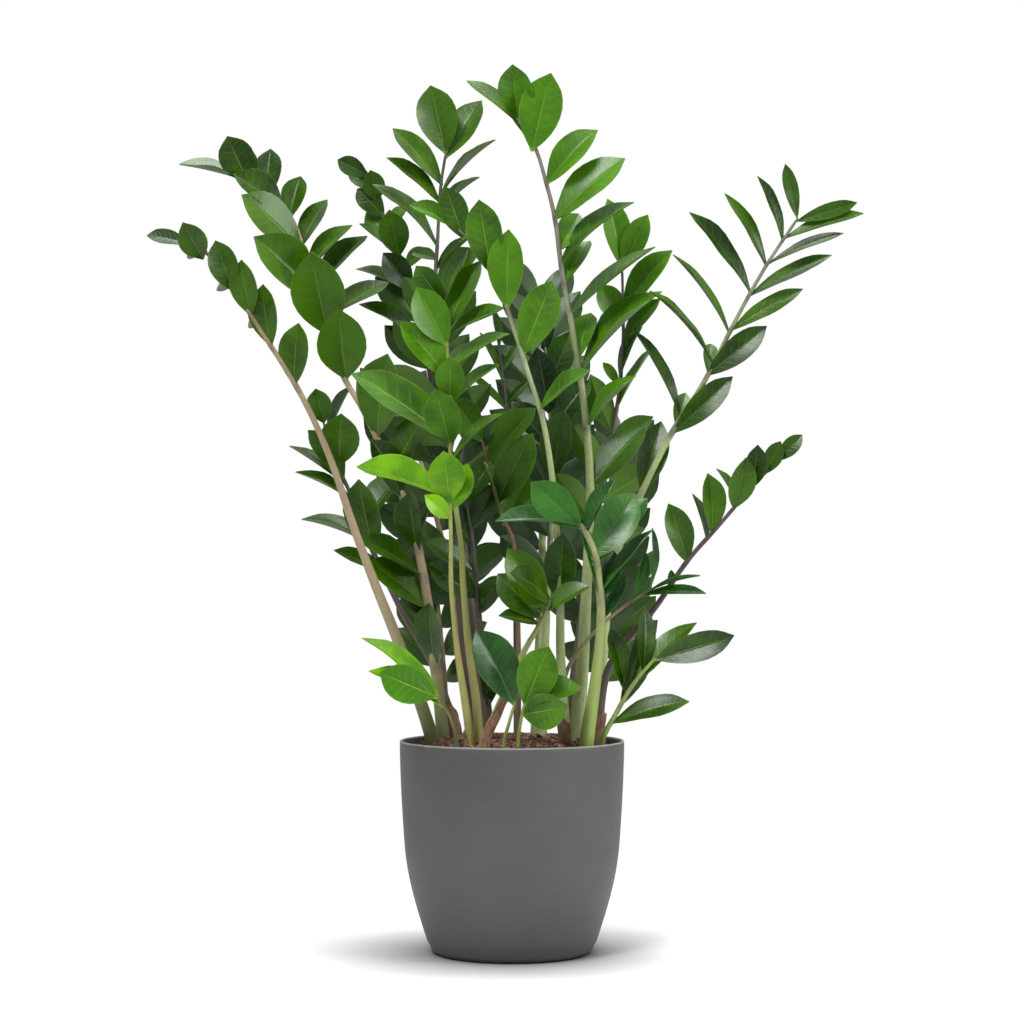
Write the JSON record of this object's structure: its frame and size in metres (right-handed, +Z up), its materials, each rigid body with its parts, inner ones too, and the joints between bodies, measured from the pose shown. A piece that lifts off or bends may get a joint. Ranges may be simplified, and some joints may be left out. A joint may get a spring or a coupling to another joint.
{
  "type": "potted zz plant",
  "caption": "Tall ZZ plant with arching feathered fronds of glossy oval leaflets, growing from bark soil in a round, tapered, matt dark grey pot.",
  "frame": {"origin": "centre of the pot's flat underside, on the surface that it stands on", "axes": "+Z up along the pot's axis; +X to the plant's right as its fuller side is seen, where the feathery frond leans out; +Y to its back"},
  "size_m": [0.7616, 0.4135, 0.965],
  "materials": {
    "pot": "matt, faintly mottled dark warm grey, paler on the cut edge of the rim",
    "soil": "rough reddish-brown bark chips, coir fibre and crumbs",
    "sheath": "dry papery brown, ribbed lengthways",
    "leaf_green": "waxy half-gloss mid-green leaf with a pale midrib",
    "leaf_bright": "waxy half-gloss bright green leaf with a pale midrib",
    "leaf_lime": "waxy half-gloss lime green young leaf",
    "leaf_dark": "glossy deep green leaf",
    "leaf_teal": "glossy blue-green leaf",
    "stalk_green": "smooth fleshy pale green stalk with small dark flecks",
    "stalk_tan": "smooth tan stalk with dark flecks and faint bands",
    "stalk_dark": "smooth purple-brown stalk"
  },
  "bodies": {
    "root": {"back_centre_frond": "leaf_dark", "back_left_frond": "leaf_dark", "dark_centre_frond": "leaf_dark", "dark_left_sheath": "sheath", "far_left_frond": "leaf_green", "front_cupped_frond": "leaf_bright", "front_middle_frond": "leaf_teal", "front_stout_frond": "leaf_dark", "front_teal_frond": "leaf_teal", "left_dark_frond": "leaf_dark", "left_short_frond": "leaf_bright", "light_centre_frond": "leaf_bright", "light_sheath": "sheath", "middle_sheath": "sheath", "pot": "pot", "rear_centre_frond": "leaf_green", "rear_left_frond": "leaf_dark", "rear_low_left_frond": "leaf_green", "rear_low_right_frond": "leaf_green", "rear_right_frond": "leaf_dark", "red_stem_frond": "leaf_green", "right_base_frond": "leaf_green", "right_centre_frond": "leaf_bright", "right_fern_frond": "leaf_green", "right_low_frond": "leaf_green", "right_sheath": "sheath", "soil": "soil", "tallest_frond": "leaf_bright", "thin_back_frond": "leaf_dark", "thin_right_frond": "leaf_teal", "top_centre_frond": "leaf_green", "upper_left_frond": "leaf_green", "young_low_frond": "leaf_lime", "young_sheath": "sheath", "young_tall_frond": "leaf_bright"}
  },
  "joints": []
}
